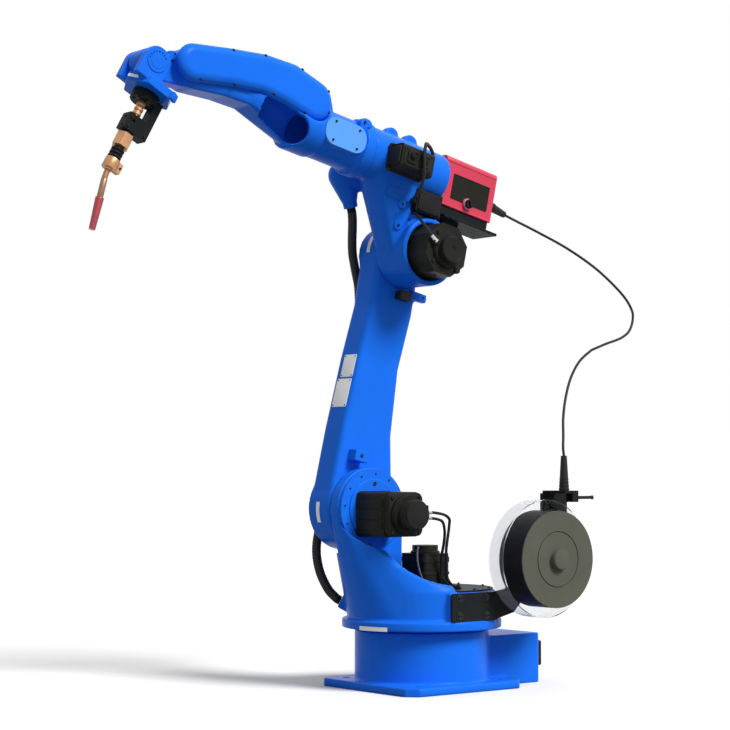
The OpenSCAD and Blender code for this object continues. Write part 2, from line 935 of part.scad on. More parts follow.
module torch_insulator() color(black) {
    at_wrist()
        translate([-tool_offset, 0, torch_z - torch_len + 36])
            difference() {
                union() {
                    cylinder(r = 15, h = 36, $fn = 40);
                    for (z = [2, 13, 24])
                        translate([0, 0, z])
                            cylinder(r = 19, h = 6, $fn = 40);
                }
                translate([0, 0, -1])
                    cylinder(r = torch_r, h = 48, $fn = 40);
            }
}

module torch_nut() color(brass) {
    at_wrist()
        translate([-tool_offset, 0, torch_z - torch_len + 74])
            difference() {
                cylinder(d = 50, h = 40, $fn = 6);
                translate([0, 0, -1])
                    cylinder(r = torch_r, h = 50, $fn = 40);
            }
}

module torch_collar() color(brass) {
    at_wrist()
        translate([-tool_offset, 0, torch_z - torch_len + 4])
            difference() {
                union() {
                    cylinder(r = 21, h = 30, $fn = 48);
                    translate([-32, -10, 0])
                        cube([24, 20, 30]);
                }
                translate([0, 0, -1])
                    cylinder(r = torch_r, h = 40, $fn = 40);
                translate([-40, -2, -1])
                    cube([32, 4, 40]);
            }
}

module at_bend() {
    at_wrist()
        translate([-tool_offset - bend_r, 0, torch_z - torch_len])
            children();
}

module swan_neck() color(copper) {
    at_bend() {
        rotate([90, 0, 0])
            rotate([0, 0, -neck_bend])
                rotate_extrude(angle = neck_bend, $fn = 180)
                    translate([bend_r, 0])
                        circle(r = 8, $fn = 32);
        rotate([0, neck_bend, 0])
            translate([bend_r, 0, -swan_len])
                cylinder(r = 9, h = swan_len + 2, $fn = 32);
    }
}

module gas_nozzle() color(copper) {
    at_bend()
        rotate([0, neck_bend, 0])
            translate([bend_r, 0, -swan_len - nozzle_len])
                cylinder(r1 = 9, r2 = 12, h = nozzle_len, $fn = 40);
}

// Cords

conduit_low_route = [[-308, 293, 687.5], [-310, 288, 712], [-321, 277.5, 745], [-339, 259, 802],
    [-368, 240, 864], [-409, 221, 926], [-463, 204, 978], [-527, 190, 1014]];
conduit_high_route = [[-528, 189.8, 1014.4], [-605, 175, 1037], [-686, 161, 1059], [-735, 150, 1085],
    [-762, 139, 1124], [-764, 130, 1158], [-736, 113, 1207], [-660, 82, 1280], [-564, 50, 1342],
    [-466, 19, 1390], [-398, -6, 1422], [-350.6, -14, 1440.4]];
hose_low_route = [[191.4, -149.6, 255.1], [196.5, -153.6, 258.6], [203, -159.2, 265.5], [219, -174.5, 290],
    [234, -194, 340], [238, -206, 400], [228, -208, 460], [205, -208, 520], [185, -206, 580]];
hose_arm_route = [[184.8, -206, 580.6], [165, -204, 650], [141, -204, 760], [118, -204, 880],
    [97, -204, 1000], [80, -204, 1110]];
hose_high_route = [[79.9, -204, 1111], [77.8, -204, 1124.6], [77, -204, 1155], [80, -204, 1205],
    [93, -203, 1256], [112, -192, 1302], [131, -170, 1340], [147, -148, 1371], [158, -133.5, 1398],
    [163.5, -128.4, 1416], [165.8, -128, 1424.7], [167.8, -128, 1431.9]];
shoulder_lead_routes = [
    [[104, 140, 506], [78, 139, 504], [53, 135, 501], [24, 125, 493], [8, 115, 472], [-1, 105, 448],
        [-5, 95, 420], [-7, 85, 392], [-14, 76, 362], [-17, 74, 336], [-21, 84, 314], [-14, 112, 303],
        [-8, 150, 300]],
    [[104, 142, 522], [78, 141, 521], [51, 139, 518], [20, 133, 512], [-1, 127, 500], [-6, 121, 486],
        [-8, 114, 458], [-10, 106, 432], [-14, 97, 404], [-22, 88, 368], [-26, 84, 336], [-30, 92, 314],
        [-24, 118, 303], [-19, 152, 300]]];
roll_lead_route = [[109.7, 114, 4], [101, 114, 6], [95, 115, 18], [99, 117, 34], [114, 122, 45],
    [134, 131, 49], [150, 143, 45], [160, 155, 32], [163, 160, 10], [160, 161, -14], [153, 160, -38],
    [146, 154, -62], [138, 138, -86], [128, 112, -101], [114, 84, -105], [100, 62, -105], [87.5, 50, -104]];
elbow_lead_route = [[58, 146, -221], [74, 147, -213], [88, 142, -199], [96, 128, -183], [97, 108, -166],
    [92, 84, -151], [85, 62, -141], [76, 42, -136]];

module conduit_low() color(black) {
    tube_along(conduit_low_route, conduit_d);
}

module conduit_high() color(black) {
    tube_along(conduit_high_route, conduit_d);
}

module hose_low() color(black) {
    tube_along(hose_low_route, hose_d, 3, 12);
}

module hose_arm() color(black) {
    tube_along(hose_arm_route, hose_d, 2, 12);
}

module hose_high() color(black) {
    tube_along(hose_high_route, hose_d, 3, 12);
}

module motor_leads() color(black) {
    for (route = shoulder_lead_routes)
        tube_along(route, lead_d, 3, 8);
}

module roll_lead() color(black) {
    at_forearm()
        tube_along(roll_lead_route, roll_lead_d, 3, 8);
}

module elbow_lead() color(black) {
    at_forearm()
        tube_along(elbow_lead_route, lead_d, 3, 8);
}

base_casting();
connector_panel();
rear_connectors();
turret_casting();
turret_lid();
turn_motor();
shoulder_reducer();
shoulder_motor();
motor_leads();
spool_bracket();
spool_axle();
wire_spool();
spool_cover();
wire_guide();
conduit_boot_low();
arm_casting();
arm_bracket();
arm_stop();
elbow_casting();
elbow_motor();
roll_motor();
junction_box();
feeder_carrier();
feeder_base();
feeder_cover();
feeder_window();
feeder_knob();
conduit_boot_high();
roll_lead();
elbow_lead();
forearm_casting();
cowl();
tube_cover();
wrist_block();
tool_disc();
torch_bracket();
torch_body();
torch_insulator();
torch_nut();
torch_collar();
swan_neck();
gas_nozzle();
conduit_low();
conduit_high();
hose_low();
hose_arm();
hose_high();
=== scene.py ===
import json
import math
import bpy
from mathutils import Matrix, Vector
from mathutils.bvhtree import BVHTree


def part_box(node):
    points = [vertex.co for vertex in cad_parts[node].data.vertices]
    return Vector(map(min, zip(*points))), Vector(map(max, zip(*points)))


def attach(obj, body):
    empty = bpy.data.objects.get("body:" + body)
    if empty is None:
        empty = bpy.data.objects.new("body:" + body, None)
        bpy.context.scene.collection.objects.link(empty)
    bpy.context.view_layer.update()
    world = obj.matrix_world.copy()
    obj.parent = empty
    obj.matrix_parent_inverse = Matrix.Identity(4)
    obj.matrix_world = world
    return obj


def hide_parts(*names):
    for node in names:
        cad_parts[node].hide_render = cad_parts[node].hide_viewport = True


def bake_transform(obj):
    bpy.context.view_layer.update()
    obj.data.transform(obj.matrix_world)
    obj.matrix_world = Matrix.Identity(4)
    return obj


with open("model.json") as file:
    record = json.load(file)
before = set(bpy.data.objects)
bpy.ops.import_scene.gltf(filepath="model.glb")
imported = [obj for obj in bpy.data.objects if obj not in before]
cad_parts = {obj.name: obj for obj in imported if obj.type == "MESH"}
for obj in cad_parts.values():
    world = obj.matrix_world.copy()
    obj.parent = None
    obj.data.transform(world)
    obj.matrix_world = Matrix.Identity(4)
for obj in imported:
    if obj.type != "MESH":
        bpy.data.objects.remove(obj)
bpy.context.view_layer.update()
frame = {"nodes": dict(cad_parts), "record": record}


# Camera, floor and light. The robot stands on a pale studio floor under one broad soft light from above,
# and the camera looks at its left front corner from about hip height.
camera_turn = math.radians(39.8613)
camera_pan = math.radians(-1.5869)
camera_pitch = math.radians(2.8078)
camera_away, camera_height = 6.1011, 0.6602
photo_width, focal_pixels, film_width = 730, 2032.397, 36

out = Vector((math.sin(camera_turn), math.cos(camera_turn), 0))
right = Vector((-math.cos(camera_turn), math.sin(camera_turn), 0))
level = -out * math.cos(camera_pan) + right * math.sin(camera_pan)
ahead = level * math.cos(camera_pitch) + Vector((0, 0, 1)) * math.sin(camera_pitch)
side = ahead.cross(Vector((0, 0, 1))).normalized()
above = side.cross(ahead)
camera = bpy.data.objects.new("photo_camera", bpy.data.cameras.new("photo_camera"))
camera.data.sensor_width = film_width
camera.data.lens = film_width * focal_pixels / photo_width
camera.data.clip_end = 200
camera.matrix_world = Matrix.Translation(out * camera_away + Vector((0, 0, camera_height))) @ Matrix(
    (side, above, -ahead)).transposed().to_4x4()
bpy.context.scene.collection.objects.link(camera)
bpy.context.scene.camera = camera
bpy.context.scene.view_settings.view_transform = "Standard"

key_light = bpy.data.lights.new("key_light", "SUN")
key_light.energy = 3.5
key_light.angle = math.radians(22)
key_lamp = bpy.data.objects.new("key_lamp", key_light)
key_lamp.rotation_euler = Vector((0.20, -0.70, -0.68)).to_track_quat("-Z", "Y").to_euler()
bpy.context.scene.collection.objects.link(key_lamp)


def bright_where_seen(tree, dim, bright):
    """A value that is bright for what the camera, a mirror or glass sees and dim as a source of light."""
    path = tree.nodes.new("ShaderNodeLightPath")
    either = tree.nodes.new("ShaderNodeMath")
    either.operation = "MAXIMUM"
    anyhow = tree.nodes.new("ShaderNodeMath")
    anyhow.operation = "MAXIMUM"
    spread = tree.nodes.new("ShaderNodeMapRange")
    spread.inputs["To Min"].default_value = dim
    spread.inputs["To Max"].default_value = bright
    tree.links.new(path.outputs["Is Camera Ray"], either.inputs[0])
    tree.links.new(path.outputs["Is Glossy Ray"], either.inputs[1])
    tree.links.new(either.outputs[0], anyhow.inputs[0])
    tree.links.new(path.outputs["Is Transmission Ray"], anyhow.inputs[1])
    tree.links.new(anyhow.outputs[0], spread.inputs["Value"])
    return spread.outputs[0]


world = bpy.data.worlds.new("studio")
bpy.context.scene.world = world
world.use_nodes = True
glow = world.node_tree.nodes["Background"]
glow.inputs["Color"].default_value = (1, 1, 1, 1)
world.node_tree.links.new(bright_where_seen(world.node_tree, dim=0.5, bright=1.0), glow.inputs["Strength"])

floor_reach = 60
floor_corners = [(x * floor_reach, y * floor_reach, 0) for x, y in ((-1, -1), (1, -1), (1, 1), (-1, 1))]
floor_mesh = bpy.data.meshes.new("studio_floor")
floor_mesh.from_pydata(floor_corners, [], [(0, 1, 2, 3)])
studio_floor = bpy.data.objects.new("studio_floor", floor_mesh)
bpy.context.scene.collection.objects.link(studio_floor)
floor_paint = bpy.data.materials.new("floor_paint")
floor_paint.use_nodes = True
floor_shader = floor_paint.node_tree.nodes["Principled BSDF"]
floor_shader.inputs["Roughness"].default_value = 0.9
floor_shader.inputs["Specular IOR Level"].default_value = 0
floor_paint.node_tree.links.new(bright_where_seen(floor_paint.node_tree, dim=0.25, bright=0.86),
                                floor_shader.inputs["Base Color"])
floor_mesh.materials.append(floor_paint)


# Base: a sand-cast iron foot and drum with a cable box at the rear, painted gloss blue.
# Each corner of its foot has a hole for a floor bolt.
def made_finish(name, colour, rough, metal=0.0, mottle=0.08, mottle_scale=9.0, grain=700.0,
                grain_depth=0.0002, rough_spread=0.08, coat=0.0, gloss=0.3):
    """One coated or bare surface: uneven colour, uneven gloss and a fine grain that stands up."""
    material = bpy.data.materials.new(name)
    material.use_nodes = True
    tree = material.node_tree
    shader = tree.nodes["Principled BSDF"]
    shader.inputs["Metallic"].default_value = metal
    shader.inputs["Specular IOR Level"].default_value = gloss
    shader.inputs["Coat Weight"].default_value = coat
    shader.inputs["Coat Roughness"].default_value = 0.1
    place = tree.nodes.new("ShaderNodeTexCoord")
    cloud = tree.nodes.new("ShaderNodeTexNoise")
    cloud.inputs["Scale"].default_value = mottle_scale
    cloud.inputs["Detail"].default_value = 5
    tones = tree.nodes.new("ShaderNodeValToRGB")
    tones.color_ramp.elements[0].position = 0.3
    tones.color_ramp.elements[1].position = 0.7
    tones.color_ramp.elements[0].color = [c * (1 - mottle) for c in colour] + [1]
    tones.color_ramp.elements[1].color = [min(1, c * (1 + mottle)) for c in colour] + [1]
    patch = tree.nodes.new("ShaderNodeTexNoise")
    patch.inputs["Scale"].default_value = mottle_scale * 6
    patch.inputs["Detail"].default_value = 6
    sheen = tree.nodes.new("ShaderNodeMapRange")
    sheen.inputs["To Min"].default_value = max(0.03, rough - rough_spread)
    sheen.inputs["To Max"].default_value = rough + rough_spread
    speck = tree.nodes.new("ShaderNodeTexNoise")
    speck.inputs["Scale"].default_value = grain
    speck.inputs["Detail"].default_value = 2
    raised = tree.nodes.new("ShaderNodeBump")
    raised.inputs["Strength"].default_value = 0.5
    raised.inputs["Distance"].default_value = grain_depth
    link = tree.links.new
    for texture in (cloud, patch, speck):
        link(place.outputs["Object"], texture.inputs["Vector"])
    link(cloud.outputs["Fac"], tones.inputs["Fac"])
    link(tones.outputs["Color"], shader.inputs["Base Color"])
    link(patch.outputs["Fac"], sheen.inputs["Value"])
    link(sheen.outputs["Result"], shader.inputs["Roughness"])
    link(speck.outputs["Fac"], raised.inputs["Height"])
    link(raised.outputs["Normal"], shader.inputs["Normal"])
    return material


def dress(node, material, voxel=0, softened=0, edge=0, segments=2):
    """Gives a CAD part its finish: cast parts get rounded skins, machined parts get broken edges."""
    part = frame["nodes"][node]
    part.data.materials.clear()
    part.data.materials.append(material)
    if voxel:
        skin = part.modifiers.new("cast_skin", "REMESH")
        skin.mode = "VOXEL"
        skin.voxel_size = voxel
        skin.use_smooth_shade = True
        ease = part.modifiers.new("cast_edges", "SMOOTH")
        ease.factor = 0.5
        ease.iterations = softened
    if edge:
        weld = part.modifiers.new("joined_faces", "WELD")
        weld.merge_threshold = 0.00002
        broken = part.modifiers.new("broken_edges", "BEVEL")
        broken.width = edge
        broken.segments = segments
        broken.limit_method = "ANGLE"
        broken.angle_limit = math.radians(38)
        broken.harden_normals = True


blue_paint = made_finish("blue_paint", (0.010, 0.15, 0.78), 0.30, mottle=0.05, mottle_scale=5, grain=520,
                         grain_depth=0.00012, rough_spread=0.05, gloss=0.05)
dress("base_casting", blue_paint, voxel=0.004, softened=4)


# Cable box fittings: a steel panel on the back of the base carries two hooded plug connectors.
# Each hood is a die-cast shell that is held down by two spring levers.
def make_piece(name, shapes, material, body=None, crease=35):
    """One mesh object from several shapes, smooth but for its sharp edges."""
    mesh = bpy.data.meshes.new(name)
    points, faces = [], []
    for shape_points, shape_faces in shapes:
        start = len(points)
        points += [tuple(p) for p in shape_points]
        faces += [tuple(start + k for k in face) for face in shape_faces]
    mesh.from_pydata(points, [], faces)
    mesh.validate()
    mesh.polygons.foreach_set("use_smooth", [True] * len(mesh.polygons))
    mesh.set_sharp_from_angle(angle=math.radians(crease))
    mesh.materials.append(material)
    piece = bpy.data.objects.new(name, mesh)
    bpy.context.scene.collection.objects.link(piece)
    if body:
        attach(piece, body)
    return piece


def rings_shape(rings):
    """A closed solid through rings of points, each ring as long as the others."""
    count = len(rings[0])
    points = [p for ring in rings for p in ring]
    faces = [tuple(range(count - 1, -1, -1)), tuple((len(rings) - 1) * count + k for k in range(count))]
    for i in range(len(rings) - 1):
        for k in range(count):
            a, b = i * count + k, i * count + (k + 1) % count
            faces.append((a, b, b + count, a + count))
    return points, faces


def seat(link, spot, normal, up=(0, 0, 1)):
    """Axes for a piece on a link: where it sits in millimetres, the way it faces and its way up."""
    normal = Vector(normal).normalized()
    up = Vector(up)
    if abs(normal.dot(up.normalized())) > 0.99:
        up = Vector((1, 0, 0))
    up = (up - normal * normal.dot(up)).normalized()
    axes = Matrix((up.cross(normal), up, normal)).transposed().to_4x4()
    axes.translation = Vector(spot) / 1000
    return link @ axes


def turned(steps, at, sides=24):
    """A turned solid on a seat: steps of radius, height and, for a many-sided step, its corners."""
    rings = []
    for step in steps:
        radius, height, corners = (*step, 0)[:3]
        ring = []
        for k in range(sides):
            turn = math.tau * k / sides
            reach = radius
            if corners:
                half = math.pi / corners
                reach *= math.cos(half) / math.cos((turn + half) % (2 * half) - half)
            ring.append(at @ (Vector((reach * math.cos(turn), reach * math.sin(turn), height)) / 1000))
        rings.append(ring)
    return rings_shape(rings)


def cap_screw(at, size, washer=False):
    """A socket-head screw on its seat, with a washer under it where one is used."""
    steps = [(0.9 * size, 0)]
    if washer:
        steps = [(1.75 * size, 0), (1.75 * size, 0.3 * size), (0.9 * size, 0.32 * size)]
    low = steps[-1][1]
    steps += [(0.9 * size, low + 0.85 * size), (0.78 * size, low + size), (0.56 * size, low + size),
              (0.54 * size, low + size, 6), (0.5 * size, low + 0.4 * size, 6)]
    return turned(steps, at)


def rounded(width, height, corner, steps=5):
    """The outline of a plate with round corners, about its middle."""
    outline = []
    for cx, cy, start in ((1, 1, 0), (-1, 1, 1), (-1, -1, 2), (1, -1, 3)):
        for k in range(steps + 1):
            turn = math.pi / 2 * (start + k / steps)
            outline.append((cx * (width / 2 - corner) + corner * math.cos(turn),
                            cy * (height / 2 - corner) + corner * math.sin(turn)))
    return outline


def plate_shape(at, width, height, thick, corner, edge=0.6):
    """A plate or block on its seat, with round corners and a broken top edge."""
    rings = []
    for inset, z in ((0, 0), (0, thick - edge), (edge * 0.3, thick - edge * 0.3), (edge, thick)):
        rings.append([at @ (Vector((x, y, z)) / 1000)
                      for x, y in rounded(width - 2 * inset, height - 2 * inset, max(corner - inset, 0.1))])
    return rings_shape(rings)


ground = Matrix.Identity(4)
black_paint = made_finish("black_paint", (0.013, 0.0155, 0.0165), 0.45, mottle=0.2, grain=800,
                          grain_depth=0.0002, gloss=0.04)
dark_steel = made_finish("dark_steel", (0.035, 0.036, 0.042), 0.42, metal=0.7, mottle=0.25, mottle_scale=60,
                         grain=1500, grain_depth=0.0001, gloss=0.2)
black_plastic = made_finish("black_plastic", (0.012, 0.012, 0.0135), 0.46, mottle=0.15, grain=1200,
                            grain_depth=0.0002, gloss=0.08)
dress("connector_panel", black_paint, edge=0.0015)
dress("rear_connectors", black_plastic, edge=0.005, segments=3)
hood_low, hood_high = (Vector(corner) * 1000 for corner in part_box("rear_connectors"))
hood_middle = (hood_low + hood_high) / 2
hood_off_centre = 52
lever_pin = [(4, 0), (4, 3.4), (3.2, 4)]
levers = []
for y in (-hood_off_centre, hood_off_centre):
    for face, up in ((hood_high.z, 1), (hood_low.z, -1)):
        root = (hood_middle.x, y, face)
        levers.append(plate_shape(seat(ground, root, (0, 0, up), (1, 0, 0)), 52, 18, thick=2.4, corner=5))
        levers.append(turned(lever_pin, seat(ground, root, (0, 0, up))))
    hood_back = seat(ground, (hood_low.x, y, hood_middle.z), (-1, 0, 0))
    levers.append(plate_shape(hood_back, 62, 54, thick=1.8, corner=6))
make_piece("hood_levers", levers, dark_steel, "base")
panel_low, panel_high = (Vector(corner) * 1000 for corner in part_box("connector_panel"))
screw_inset = 9
panel_screws = [cap_screw(seat(ground, (panel_low.x, y, z), (-1, 0, 0)), size=4, washer=True)
                for y in (panel_low.y + screw_inset, panel_high.y - screw_inset)
                for z in (panel_low.z + screw_inset, panel_high.z - screw_inset)]
make_piece("panel_screws", panel_screws, dark_steel, "base")


# Turret: one casting turns on the base and sweeps up into the boss of the shoulder.
# A black sheet lid is screwed on its deck, and a bare metal strip is stuck to its flange.
def bent_plate(link, radius, start, stop, low, high, thick, steps=10):
    """A thin plate bent round the link's own upright axis, between two angles in degrees."""
    outer = radius + thick
    rings = []
    for k in range(steps + 1):
        turn = math.radians(start + (stop - start) * k / steps)
        rings.append([link @ (Vector((r * math.cos(turn), r * math.sin(turn), z)) / 1000)
                      for r, z in ((radius, low), (radius, high), (outer, high), (outer, low))])
    return rings_shape(rings)


dress("turret_casting", blue_paint, voxel=0.0032, softened=16)
dress("turret_lid", black_paint, edge=0.0012)
lid_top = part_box("turret_lid")[1][2] * 1000
lid_ring = 202
lid_screws = []
for degrees in range(100, 261, 32):
    turn = math.radians(degrees)
    spot = (lid_ring * math.cos(turn), lid_ring * math.sin(turn), lid_top)
    lid_screws.append(cap_screw(seat(ground, spot, (0, 0, 1)), size=3.5, washer=True))
make_piece("lid_screws", lid_screws, dark_steel, "turret")
pale_metal = made_finish("pale_metal", (0.78, 0.79, 0.80), 0.4, metal=0.15, mottle=0.05, grain=900,
                         grain_depth=0.00005, gloss=0.3)
flange_radius, strip_thick = 238, 1.2
turn_strip = bent_plate(ground, flange_radius, start=1, stop=25.5, low=179, high=191, thick=strip_thick)
make_piece("turn_strip", [turn_strip], pale_metal, "turret")
gland_steps = [(9, 0), (9, 3), (7.5, 3.4, 6), (7.5, 8, 6), (6, 9), (5.5, 13), (4.5, 14)]
make_piece("lead_gland", [turned(gland_steps, seat(ground, (-14, 152, lid_top), (0, 0, 1)))],
           black_plastic, "turret")


# Turn motor: a square servo motor stands on the lid, with an encoder cap on top and a lead at its front.
# Its shell is black-painted aluminium, with a flange and four tie bolts.
motor_black = made_finish("motor_black", (0.0178, 0.0182, 0.0158), 0.40, mottle=0.2, grain=650,
                          grain_depth=0.0003, gloss=0.05)
dress("turn_motor", motor_black, edge=0.002)
turn_x, turn_top = -14, 396
turn_flange = [plate_shape(seat(ground, (turn_x, 0, turn_top - down), (0, 0, 1)), 122, 104, thick,
                           corner=16, edge=1.2) for down, thick in ((26, 16), (62, 8))]
encoder_cap = [(44, 0), (44, 5), (42, 7)]
turn_flange.append(turned(encoder_cap, seat(ground, (turn_x, 0, turn_top), (0, 0, 1)), sides=40))
make_piece("turn_motor_flange", turn_flange, motor_black, "turret")
turn_screws = [cap_screw(seat(ground, (turn_x + x, y, turn_top - 10), (0, 0, 1)), size=5)
               for x in (-38, 38) for y in (-48, 48)]
make_piece("turn_motor_screws", turn_screws, dark_steel, "turret")


def metres(points):
    """Route points in millimetres, as points in metres."""
    return [tuple(c / 1000 for c in p) for p in points]


def smooth_route(points, steps):
    """The curve through the route points, as the cord really runs."""
    p = [Vector(q) for q in points]
    last = len(p) - 1
    path = []
    for i in range(last):
        a, b, c, d = p[max(i - 1, 0)], p[i], p[i + 1], p[min(i + 2, last)]
        for j in range(steps):
            t = j / steps
            path.append(0.5 * (2 * b + (c - a) * t + (2 * a - 5 * b + 4 * c - d) * t * t
                               + (3 * b - a - 3 * c + d) * t ** 3))
    return path + [p[last]]


def tube_shape(path, radius, sides=16):
    """A round sheath along a path, closed at both ends; radius is a number or a function of the ring."""
    spin = Vector((0.3, 1, 0.2))
    rings = []
    for i, spot in enumerate(path):
        way = (path[min(i + 1, len(path) - 1)] - path[max(i - 1, 0)]).normalized()
        spin = (spin - way * spin.dot(way)).normalized()
        other = way.cross(spin)
        r = radius(i) if callable(radius) else radius
        turns = [math.tau * j / sides for j in range(sides)]
        rings.append([spot + r * (math.cos(turn) * spin + math.sin(turn) * other) for turn in turns])
    return rings_shape(rings)


grey_sheath = made_finish("grey_sheath", (0.09, 0.095, 0.10), 0.42, mottle=0.15, grain=1200,
                          grain_depth=0.0001, gloss=0.35)
turn_lead_run = smooth_route(metres([
    (30, 22, 412), (42, 34, 414), (53, 44, 400), (57, 50, 376), (54, 54, 350), (46, 58, 325), (36, 62, 306),
    (30, 66, 296)]), 8)
make_piece("turn_motor_lead", [tube_shape(turn_lead_run, radius=0.003, sides=12)],
           grey_sheath, "turret")


# Shoulder drive: a ring of screws holds the reducer's cover on the turret's boss, and a square servo motor
# stands on it. The motor has an end bell with cut corners, an encoder cap and two sleeved leads.
dress("shoulder_reducer", blue_paint, edge=0.003, segments=3)
dress("shoulder_motor", motor_black, edge=0.003)
rubber = made_finish("black_rubber", (0.011, 0.011, 0.012), 0.5, mottle=0.25, grain=900, grain_depth=0.0002,
                     gloss=0.2)
dress("motor_leads", rubber)
joint_at = {joint["name"]: Vector(joint["pos_m"]) for joint in frame["record"]["behaviour"]["joints"]}
shoulder = Matrix.Translation(joint_at["j2_shoulder"])
reducer_y, reducer_ring, screw_sunk = -19.7, 104, 1.6
reducer_screws = []
for k in range(12):
    turn = math.radians(6 + 30 * k)
    spot = (reducer_ring * math.cos(turn), reducer_y - screw_sunk, reducer_ring * math.sin(turn))
    reducer_screws.append(cap_screw(seat(shoulder, spot, (0, 1, 0)), size=3.4))
make_piece("reducer_screws", reducer_screws, dark_steel, "turret")
land_steps = [(88, 0), (88, 3.5), (86, 5)]
make_piece("reducer_land", [turned(land_steps, seat(shoulder, (0, reducer_y, 0), (0, 1, 0)), sides=64)],
           blue_paint, "turret")
reducer_plug = [(6.5, 0), (6.5, 1.2), (5, 1.6), (4.8, 0.2, 6)]
make_piece("reducer_plug", [turned(reducer_plug, seat(shoulder, (-3, reducer_y + 5, 74), (0, 1, 0)))],
           dark_steel, "turret")
motor_end, motor_z, motor_half = 112.3, -14, 65
bell_end = motor_end + 22
bell = [plate_shape(seat(shoulder, (0, y, motor_z), (0, 1, 0)), size, size, thick, corner=20, edge=2)
        for y, size, thick in ((reducer_y, 134, 18), (motor_end - 6, 126, 28))]
bell_neck = [(57, 0), (57, 10), (54, 13)]
bell_cap = [(43.5, 0), (43.5, 8), (41, 12), (40, 12.4)]
bell.append(turned(bell_neck, seat(shoulder, (0, bell_end, motor_z), (0, 1, 0)), sides=48))
bell.append(turned(bell_cap, seat(shoulder, (0, motor_end + 66, motor_z), (0, 1, 0)), sides=48))
bell += [plate_shape(seat(shoulder, (x * motor_half, 52, motor_z + z), (x, 0, 0)), 108, 27,
                     thick=2.6, corner=4) for x in (-1, 1) for z in (-31, 0, 31)]
lead_block = seat(shoulder, (-60, bell_end, motor_z + 4), (0, 1, 0))
bell.append(plate_shape(lead_block, 26, 46, thick=16, corner=4, edge=2))
make_piece("shoulder_motor_bell", bell, motor_black, "turret")
motor_screws = [cap_screw(seat(shoulder, (x * apart, y, motor_z + z * apart), (0, 1, 0)), size=6)
                for y, apart in ((bell_end, 50), (reducer_y + 18, 55)) for x in (-1, 1) for z in (-1, 1)]
make_piece("shoulder_motor_screws", motor_screws, dark_steel, "turret")
bright_steel = made_finish("bright_steel", (0.55, 0.56, 0.58), 0.32, metal=0.85, mottle=0.1, grain=1500,
                           grain_depth=0.00005)
plug_steps = [(7.5, 0), (7.5, 5), (6, 5.5, 6), (6, 14, 6), (5.4, 15), (5.2, 26), (4.8, 27)]
shoulder_plugs = [turned(plug_steps, seat(ground, spot, (-1, 0, -0.06), (0, 1, 0)))
                  for spot in ((108, 140, 506.2), (108, 142, 522))]
make_piece("shoulder_plugs", shoulder_plugs, bright_steel, "turret")


# Spool carrier: a laser-cut steel plate bolted to the turret holds a fixed axle, and behind the wire spool
# a clear dished guard. A block on top feeds the wire into a soft boot.
dress("spool_bracket", black_paint, edge=0.0015)
dress("spool_axle", black_plastic, edge=0.001)
plate_face = 231
bracket_screws = [cap_screw(seat(ground, (x, plate_face, z), (0, 1, 0)), size=6.5, washer=True)
                  for x, z in ((50, 275), (-53, 275), (51, 224), (-53, 222))]
make_piece("bracket_screws", bracket_screws, dark_steel, "turret")
clear_plastic = made_finish("clear_plastic", (0.86, 0.87, 0.885), 0.10, mottle=0.01, grain=60,
                            grain_depth=0.0002)
clear_shader = clear_plastic.node_tree.nodes["Principled BSDF"]
clear_shader.inputs["Transmission Weight"].default_value = 0.95
clear_shader.inputs["IOR"].default_value = 1.07
dress("spool_cover", clear_plastic)
dress("wire_guide", black_plastic, edge=0.0015)
guide_low, guide_high = (Vector(corner) * 1000 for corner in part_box("wire_guide"))
inlet_spot = (guide_low.x, (guide_low.y + guide_high.y) / 2, guide_high.z - 21)
inlet_steps = [(6.6, 0), (6.6, 3), (5.2, 4), (2.2, 4.2), (2, 2)]
make_piece("wire_inlet", [turned(inlet_steps, seat(ground, inlet_spot, (-1, 0, 0)))],
           bright_steel, "turret")
dress("conduit_boot_low", rubber)
boot_low, boot_high = (Vector(corner) * 1000 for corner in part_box("conduit_boot_low"))
boot_middle = (boot_low + boot_high) / 2
boot_ribs = [turned([(r, 0), (r + 1.2, 1), (r + 1.2, 4), (r, 5)],
                    seat(ground, (boot_middle.x, boot_middle.y, boot_low.z + z), (0, 0, 1)))
             for z, r in ((2, 15), (12, 14), (22, 13.3), (32, 12.5))]
make_piece("boot_ribs", boot_ribs, rubber, "turret")


# Wire spool: a closed plastic cassette of welding wire that turns on the fixed axle.
# Its outer face is olive, with a groove and a hub moulded in, and a black band goes round it.
olive_plastic = made_finish("olive_plastic", (0.088, 0.092, 0.071), 0.5, mottle=0.08, grain=900,
                            grain_depth=0.0002, gloss=0.1)
dress("wire_spool", olive_plastic, edge=0.003, segments=3)
spool = Matrix.Translation((joint_at["spool_spin"].x, 0, joint_at["spool_spin"].z))
spool_face, hub_stands = 343, 14
hub_cap = [(29, 0), (29, 2.4), (28, 3.4), (26.5, 3.8)]
hub_end = seat(spool, (0, spool_face + hub_stands, 0), (0, 1, 0))
make_piece("spool_hub_cap", [turned(hub_cap, hub_end, sides=40)], olive_plastic, "spool")
band_back, band_wide, band_edge = spool_face - 96.5, 93, 0.8
band_steps = [(141.8, 0), (142.5, band_edge), (142.5, band_wide - band_edge), (141.8, band_wide)]
make_piece("spool_band", [turned(band_steps, seat(spool, (0, band_back, 0), (0, 1, 0)), sides=96)],
           black_plastic, "spool")


# Lower arm: a long box-section casting with a round boss at each end, painted blue. On its far side bolted
# covers close the two bearings, and blank metal plates are riveted to its front.
def link_axes(origin, upward):
    """Axes of a link that swings in the robot's upright middle plane."""
    upward = upward.normalized()
    axes = Matrix((Vector((0, 1, 0)).cross(upward), Vector((0, 1, 0)), upward)).transposed().to_4x4()
    axes.translation = origin
    return axes


